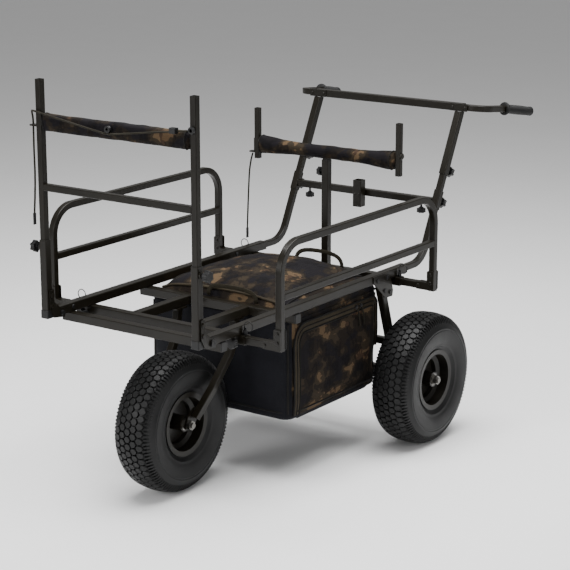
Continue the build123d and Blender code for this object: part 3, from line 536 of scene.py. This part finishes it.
def make_bag_body():
    """Filled bag body: walls that belly out between the seams, a sagging floor and soft creases."""
    centre = (BAG_LOW + BAG_HIGH) / 2
    half = (BAG_HIGH - BAG_LOW) / 2
    around, levels, floor_rings = 168, 44, 9
    top, bottom = BAG_HIGH.z, BAG_LOW.z + 0.006
    rings = []
    for i in range(levels):
        t = i / (levels - 1)
        z = bottom + 0.016 + (top - bottom - 0.016) * t
        ring = []
        for p in box_ring(half.x, half.y, 0.024, around):
            x, y = centre.x + p.x, centre.y + p.y
            belly = sin(pi * min(1, t * 1.02)) ** 0.7
            flat = 1 - max(abs(p.x) / half.x * (abs(p.y) / half.y), 0) ** 2
            out = 0.004 * belly * flat + 0.0035 * soft_noise((x, y, z), 14, 3) * belly
            out += 0.0022 * soft_noise((x, y, z * 0.35), 42, 7) * belly
            away = Vector((p.x / half.x, p.y / half.y))
            away = Vector((round(away.x * 0.62) if abs(away.x) < 0.98 else away.x,
                           away.y if abs(away.y) > 0.98 else 0))
            if away.length > 0:
                away.normalize()
            z_here = z - 0.004 * (1 - t) * (abs(p.x) < half.x * 0.8)
            ring.append(Vector((x + away.x * out, y + away.y * out, z_here)))
        rings.append(ring)
    base = rings[0]
    floor = []
    for j in range(floor_rings):
        t = j / (floor_rings - 1)
        inset = 0.016 * (1 - cos(t * pi / 2)) if t < 1 else 0.016
        scale = 1 - inset / half.x
        floor.append([Vector((centre.x + (p.x - centre.x) * scale, centre.y + (p.y - centre.y) * scale,
                              p.z - 0.016 * sin(t * pi / 2))) for p in base])
    inner = floor[-1]
    under = [[Vector((centre.x + (p.x - centre.x) * s, centre.y + (p.y - centre.y) * s,
                      p.z - 0.006 * (1 - s)))
              for p in inner] for s in (0.8, 0.55, 0.3, 0.08)]
    stack = list(reversed(floor[1:] + under)) + rings
    roof = [[Vector((centre.x + (p.x - centre.x) * s, centre.y + (p.y - centre.y) * s, p.z))
             for p in rings[-1]]
            for s in (0.9, 0.5, 0.1)]
    stack += roof
    verts, faces = skin(stack)
    bag = build("bag_shell", verts, faces, CAMO, "chassis")
    pinned = [v.index for v in bag.data.vertices if v.co.z > top - 0.012 or v.co.z < bottom + 0.002]
    cloth_settle(bag, pinned, 14, 1.6, 0.3, 0.009)
    bag.data.materials.append(NAVY)
    front = BAG_HIGH.x - 0.020
    for polygon in bag.data.polygons:
        if polygon.center.x > front and abs(polygon.normal.x) > 0.35 or polygon.center.z < bottom + 0.012:
            polygon.material_index = 1
    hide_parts("bag_body")
    return bag


def surface_point(bag, origin, direction, stand):
    """Point on the bag's skin that a ray meets, lifted off it by `stand`."""
    hit, place_, normal, _ = bag.ray_cast(Vector(origin), Vector(direction))
    if not hit:
        return Vector(origin)
    return place_ + normal * stand


def side_route(bag, points, side, stand, steps=6):
    """Route over the side wall through (x, z) points, laid on the bag's skin."""
    route = []
    for (x0, z0), (x1, z1) in zip(points, points[1:]):
        for i in range(steps):
            t = i / steps
            origin = (x0 + (x1 - x0) * t, side * (BAG_HIGH.y + 0.08), z0 + (z1 - z0) * t)
            route.append(surface_point(bag, origin, (0, -side, 0), stand))
    x, z = points[-1]
    route.append(surface_point(bag, (x, side * (BAG_HIGH.y + 0.08), z), (0, -side, 0), stand))
    return route


def ribbon(name, route, out, width, thick, mat):
    """Flat band with a rounded back that follows a route and faces `out`."""
    out = Vector(out)
    rings = []
    for i, point in enumerate(route):
        ahead = route[min(i + 1, len(route) - 1)] - route[max(i - 1, 0)]
        across = ahead.cross(out).normalized()
        ring = []
        for u, v in ((-0.5, -0.4), (-0.5, 0.3), (-0.42, 0.55), (0, 0.62),
                     (0.42, 0.55), (0.5, 0.3), (0.5, -0.4)):
            ring.append(point + across * (u * width) + out * (v * thick))
        rings.append(ring)
    verts, faces = skin(rings)
    return build(name, verts, faces, mat, "chassis")


def pocket_outline():
    """Zip line of the side pocket, as (x, z), from its low front corner round to the rear."""
    front, rear = BAG_HIGH.x - 0.034, BAG_LOW.x + 0.010
    low, top = BAG_LOW.z + 0.020, BAG_HIGH.z - 0.026
    corner = 0.042
    arc = [(front - corner + corner * cos(a), top - corner + corner * sin(a))
           for a in (0.0, pi / 10, pi / 5, 3 * pi / 10, 2 * pi / 5, pi / 2)]
    back = [(rear + 0.026 - 0.026 * sin(a), top - 0.026 + 0.026 * cos(a))
            for a in (0.0, pi / 6, pi / 3, pi / 2)]
    return [(front, low)] + arc + back + [(rear, low + 0.10)]


def make_pocket(bag, side):
    """Zip line of the side pocket: an olive band between two dark pipings, with a zip coil."""
    name = "left" if side > 0 else "right"
    outline = pocket_outline()
    out = (0, side, 0)
    route = side_route(bag, outline, side, 0.0006)
    ribbon(f"pocket_zip_tape_{name}", route, out, 0.022, 0.0022, ZIP_TAPE)
    tube_along(f"pocket_zip_coil_{name}", [p + Vector(out) * 0.0014 for p in route], 0.0017,
               PIPING, "chassis")
    for offset, label in ((-0.013, "inner"), (0.013, "outer")):
        edge = []
        for i, point in enumerate(route):
            ahead = route[min(i + 1, len(route) - 1)] - route[max(i - 1, 0)]
            across = ahead.cross(Vector(out)).normalized()
            edge.append(point + across * offset + Vector(out) * 0.001)
        tube_along(f"pocket_piping_{label}_{name}", edge, 0.0024, PIPING, "chassis")


def make_pulls(bag, side):
    """Two zip sliders with short cord pulls at the top of the pocket."""
    name = "left" if side > 0 else "right"
    top = BAG_HIGH.z - 0.026
    for number, x in enumerate((0.020, -0.002)):
        at = surface_point(bag, (x, side * (BAG_HIGH.y + 0.08), top), (0, -side, 0), 0.003)
        verts, faces = skin([[at + Vector((dx * 0.5 * w, side * h, dz * 0.5 * w)) for dx, dz in
                              ((-1, -1.6), (1, -1.6), (1.3, 0), (1, 1.6), (-1, 1.6), (-1.3, 0))]
                             for w, h in ((0.007, -0.002), (0.008, 0.001), (0.0055, 0.0035))])
        build(f"zip_slider_{name}_{number}", verts, faces, BLACK, "chassis")
        start = at + Vector((0, side * 0.003, -0.004))
        route = [start, start + Vector((-0.002, side * 0.004, -0.012)),
                 start + Vector((-0.006, side * 0.0035, -0.030)),
                 start + Vector((-0.010, side * 0.003, -0.052))]
        tube_along(f"zip_pull_{name}_{number}", route, 0.0021, BRAID, "chassis")


def make_seams(bag):
    """Piping down the four upright edges and round the floor of the bag."""
    centre = (BAG_LOW + BAG_HIGH) / 2
    reach = 0.30
    for sx in (-1, 1):
        for sy in (-1, 1):
            route = []
            for i in range(15):
                z = BAG_LOW.z + 0.028 + (BAG_HIGH.z - BAG_LOW.z - 0.036) * i / 14
                half = (BAG_HIGH - BAG_LOW) / 2
                aim = Vector((centre.x + sx * (half.x - 0.024), centre.y + sy * (half.y - 0.024), z))
                away = Vector((sx, sy, 0)).normalized()
                route.append(surface_point(bag, aim + away * reach, -away, 0.0008))
            corner = f"{'front' if sx > 0 else 'rear'}_{'left' if sy > 0 else 'right'}"
            tube_along(f"bag_edge_piping_{corner}", route, 0.0030, PIPING, "chassis")
    route = []
    half = (BAG_HIGH - BAG_LOW) / 2
    for p in box_ring(half.x, half.y, 0.030, 64):
        away = Vector((p.x, p.y, 0)).normalized()
        at = Vector((centre.x + p.x, centre.y + p.y, BAG_LOW.z + 0.030))
        route.append(surface_point(bag, at + away * 0.06, -away, 0.0004))
    tube_along("bag_floor_piping", route, 0.0026, PIPING, "chassis", closed=True)


def make_lid():
    """Crowned lid with a soft edge, a piped welt front and rear, and a seam down each side."""
    low, high = LID_LOW, LID_HIGH
    centre = (low + high) / 2
    half = (high - low) / 2
    columns, rows = 60, 64
    rings = []
    for i in range(columns + 1):
        u = -1 + 2 * i / columns
        ring = []
        for j in range(rows + 1):
            v = -1 + 2 * j / rows
            edge = (1 - abs(u) ** 7) ** 0.5 * (1 - abs(v) ** 9) ** 0.5
            crown = 0.040 + 0.044 * (1 - v * v) * (1 - 0.35 * u * u)
            x, y = centre.x + u * half.x, centre.y + v * half.y
            puff = 0.0035 * soft_noise((x, y, 0), 13, 5) + 0.0016 * soft_noise((x, y, 0), 38, 9)
            z = low.z + 0.004 + crown * edge + puff * edge
            ring.append(Vector((x, y, min(z, high.z + 0.006))))
        rings.append(ring)
    count = rows + 1
    verts = [p for ring in rings for p in ring]
    faces = []
    for i in range(columns):
        for j in range(rows):
            a = i * count + j
            faces.append((a, a + 1, a + 1 + count, a + count))
    rim = ([(0, j) for j in range(rows + 1)] + [(i, rows) for i in range(1, columns + 1)]
           + [(columns, j) for j in range(rows - 1, -1, -1)] + [(i, 0) for i in range(columns - 1, 0, -1)])
    first = len(verts)
    for i, j in rim:
        point = rings[i][j]
        verts.append(Vector((point.x, point.y, low.z)))
    for k in range(len(rim)):
        a = rim[k][0] * count + rim[k][1]
        b = rim[(k + 1) % len(rim)][0] * count + rim[(k + 1) % len(rim)][1]
        faces.append((a, b, first + (k + 1) % len(rim), first + k))
    faces.append(tuple(range(first, len(verts))))
    lid = build("bag_lid_shell", verts, faces, CAMO, "chassis")
    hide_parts("bag_lid")
    for u, mat, radius in ((0.93, ZIP_TAPE, 0.0040), (-0.93, PIPING, 0.0032)):
        x = centre.x + u * half.x
        route = []
        for j in range(25):
            y = centre.y + half.y * 0.93 * (-1 + 2 * j / 24)
            route.append(surface_point(lid, (x, y, high.z + 0.1), (0, 0, -1), radius * 0.35))
        tube_along(f"lid_welt_{'front' if u > 0 else 'rear'}", route, radius, mat, "chassis")
    for v in (-0.86, 0.86):
        route = []
        for i in range(25):
            x = centre.x + half.x * 0.90 * (-1 + 2 * i / 24)
            route.append(surface_point(lid, (x, centre.y + v * half.y, high.z + 0.1), (0, 0, -1), 0.0008))
        tube_along(f"lid_side_seam_{'left' if v > 0 else 'right'}", route, 0.0024, PIPING, "chassis")
    return lid


def make_straps():
    """Webbing carry loops that stand against the rear and front edges of the lid."""
    low, high = (Vector(c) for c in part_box("bag_straps"))
    middle, half = (low.y + high.y) / 2, (high.y - low.y) / 2 - 0.006
    steps = 40
    for label, x, foot, top in (("rear", low.x + 0.0012, 0.486, 0.545),
                                ("front", high.x - 0.0012, 0.484, 0.524)):
        route = []
        for i in range(steps + 1):
            a = pi * i / steps
            lean = 0.0012 * sin(3 * a)
            route.append(Vector((x, middle + half * cos(a),
                                 foot + (top - foot - 0.006) * sin(a) ** 0.5 + lean)))
        strap = ribbon(f"bag_carry_loop_{label}", route, (1, 0, 0), 0.0118, 0.0018, OLIVE)
        if label == "rear":
            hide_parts("bag_straps")


def rounded_section(half_a, half_b, power, count):
    points = []
    for i in range(count):
        a = 2 * pi * i / count
        points.append((half_a * abs(cos(a)) ** (2 / power) * (1 if cos(a) >= 0 else -1),
                       half_b * abs(sin(a)) ** (2 / power) * (1 if sin(a) >= 0 else -1)))
    return points


def make_pad(name, low, high, centre_xz, shape, body, cad_node):
    """Sewn foam sleeve along Y: soft corners, gathers near both ends and a seam along its underside."""
    steps, count = 96, 40
    rings = []
    for i in range(steps + 1):
        t = i / steps
        y = low.y + (high.y - low.y) * t
        end = min(t, 1 - t) * (high.y - low.y)
        half_a, half_b, power = shape(t)
        close = 1 - 0.55 * (1 - smoothstep(end, 0.0, 0.010)) ** 2
        ring = []
        for k, (a, b) in enumerate(rounded_section(half_a, half_b, power, count)):
            angle = 2 * pi * k / count
            gather = 0.0011 * sin(angle * 9 + y * 30) * (1 - smoothstep(end, 0.0, 0.045))
            lump = 0.0014 * soft_noise((a, y, b), 24, 2) + 0.0008 * soft_noise((a, y * 0.6, b), 75, 4)
            seam = -0.0016 if abs(angle - 1.5 * pi) < 0.09 else 0.0
            grow = close * (1 + (gather + lump + seam) / max(hypot(a, b), 0.004))
            ring.append(Vector((centre_xz[0] + a * grow, y, centre_xz[1] + b * grow)))
        rings.append(ring)
    verts, faces = skin(rings)
    pad = build(name, verts, faces, CAMO, body)
    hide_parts(cad_node)
    for label, t in (("right", 0.022), ("left", 0.978)):
        ring = rings[round(t * steps)]
        middle = Vector((centre_xz[0], ring[0].y, centre_xz[1]))
        tube_along(f"{name}_binding_{label}", [middle + (p - middle) * 1.012 for p in ring[::2]],
                   0.0019, PIPING, body, closed=True)
    return pad


def make_pads():
    panel_centre = ((PAD_LOW.x + PAD_HIGH.x) / 2, (PAD_LOW.z + PAD_HIGH.z) / 2)
    panel_half = ((PAD_HIGH.x - PAD_LOW.x) / 2 - 0.001, (PAD_HIGH.z - PAD_LOW.z) / 2 - 0.001)
    make_pad("panel_bar_pad", PAD_LOW, PAD_HIGH, panel_centre, lambda t: (*panel_half, 2.9), "panel_upper",
             "panel_pad")
    rest_centre = ((REST_LOW.x + REST_HIGH.x) / 2, (REST_LOW.z + REST_HIGH.z) / 2)
    waist, flare = 0.0190, (REST_HIGH.z - REST_LOW.z) / 2 - 0.001

    def bone(t):
        away = abs(2 * t - 1)
        radius = waist + (flare - waist) * smoothstep(away, 0.45, 0.97) ** 0.9
        return radius * 0.98, radius, 2.1

    make_pad("rod_rest_pad", REST_LOW, REST_HIGH, rest_centre, bone, "rod_rest", "rest_pad")


# ---------------------------------------------------------------- grips

def make_grips():
    """Rubber grips turned with fine ribs, a bulb at the end and a round guard in front."""
    start = Vector((-0.638, 0.329, 0.906))
    tilt, splay = radians(10), radians(10)
    axis = Vector((-cos(tilt) * cos(splay), cos(tilt) * sin(splay), -sin(tilt)))
    start -= axis * 0.003
    length, radius, guard = 0.130, 0.0128, 0.0198
    profile = [(0.0, 0.010), (0.0, guard - 0.002), (0.0012, guard - 0.0004), (0.003, guard),
               (0.0048, guard - 0.0004), (0.006, guard - 0.002), (0.0066, radius + 0.002)]
    ribs = 22
    for i in range(ribs):
        at = 0.010 + (length - 0.026) * i / ribs
        pitch = (length - 0.026) / ribs
        swell = 0.0012 * sin(pi * i / ribs)
        profile += [(at, radius - 0.0012 + swell), (at + pitch * 0.25, radius + swell),
                    (at + pitch * 0.7, radius + swell), (at + pitch * 0.9, radius - 0.0012 + swell)]
    profile += [(length - 0.012, radius + 0.0008), (length - 0.004, radius + 0.0012),
                (length - 0.001, radius - 0.002), (length, radius - 0.006), (length, 0.0005)]
    for side, name in ((1, "left"), (-1, "right")):
        direction = Vector((axis.x, side * axis.y, axis.z))
        origin = Vector((start.x, side * start.y, start.z))
        u = direction.cross(Vector((0, 0, 1))).normalized()
        v = direction.cross(u).normalized()
        rings = [[origin + direction * along + (u * cos(2 * pi * k / 40) + v * sin(2 * pi * k / 40)) * r
                  for k in range(40)] for along, r in profile]
        verts, faces = skin(rings)
        grip = build(f"handle_grip_{name}", verts, faces, RUBBER, "handle_upper")
        sharp_by_angle(grip, 40)
        if side > 0:
            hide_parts("handle_grips")


# ---------------------------------------------------------------- cords

def make_cords():
    shock = tube_along("elastic_cord", SHOCK_CORD, CORD_DIAMETER / 2, BRAID, "panel_upper")
    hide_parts("shock_cord")
    rest = tube_along("rest_hanging_cord", REST_CORD, CORD_DIAMETER / 2, BRAID, "rod_rest")
    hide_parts("rest_cord")


# ---------------------------------------------------------------- camera, floor and light

def make_camera():
    """Long lens from the front left, a little above the cart."""
    data = bpy.data.cameras.new("photo_camera")
    data.sensor_width = 36.0
    data.lens = 116.8
    data.shift_x = 0.0382
    data.shift_y = 0.0198
    data.clip_end = 60.0
    camera = bpy.data.objects.new("photo_camera", data)
    bpy.context.scene.collection.objects.link(camera)
    yaw, pitch, roll = radians(-143.866), radians(-14.860), radians(-0.2)
    look = Vector((cos(yaw) * cos(pitch), sin(yaw) * cos(pitch), sin(pitch)))
    turn = look.to_track_quat("-Z", "Y").to_matrix() @ Matrix.Rotation(roll, 3, "Z")
    camera.matrix_world = Matrix.Translation((4.1884, 2.9630, 1.7784)) @ turn.to_4x4()
    bpy.context.scene.camera = camera


def area_light(name, at, target, size, power):
    data = bpy.data.lights.new(name, "AREA")
    data.shape = "RECTANGLE"
    data.size, data.size_y = size
    data.energy = power
    light = bpy.data.objects.new(name, data)
    light.location = at
    light.rotation_euler = (Vector(target) - Vector(at)).to_track_quat("-Z", "Y").to_euler()
    bpy.context.scene.collection.objects.link(light)


def make_stage():
    bpy.ops.mesh.primitive_plane_add(size=60)
    floor = bpy.context.object
    floor.name = "studio_floor"
    mat, tree, shader = new_material("studio_floor", 0.6)
    tone = ramp(tree, noise_value(tree, 3, 2), ((0.0, (0.90, 0.90, 0.90)), (1.0, (0.93, 0.93, 0.93))))
    tree.links.new(tone, shader.inputs["Base Color"])
    floor.data.materials.append(mat)
    world = bpy.data.worlds.new("studio")
    world.use_nodes = True
    background = world.node_tree.nodes["Background"]
    background.inputs["Color"].default_value = (1.0, 1.0, 1.0, 1.0)
    background.inputs["Strength"].default_value = 0.34
    bpy.context.scene.world = world
    area_light("overhead_softbox", (0.2, 0.3, 3.2), (0, 0, 0.4), (3.2, 2.4), 260)
    area_light("left_softbox", (0.6, 4.2, 1.9), (0, 0, 0.5), (2.2, 1.8), 30)
    area_light("front_softbox", (4.6, -1.2, 1.8), (0, 0, 0.5), (1.6, 2.0), 120)


dress_cad()
for place_name, wheel_body in WHEELS:
    make_tyre(place_name, wheel_body)
bag_shell = make_bag_body()
make_seams(bag_shell)
for bag_side in (1, -1):
    make_pocket(bag_shell, bag_side)
    make_pulls(bag_shell, bag_side)
make_lid()
make_straps()
make_pads()
make_grips()
make_cords()
make_stage()
make_camera()
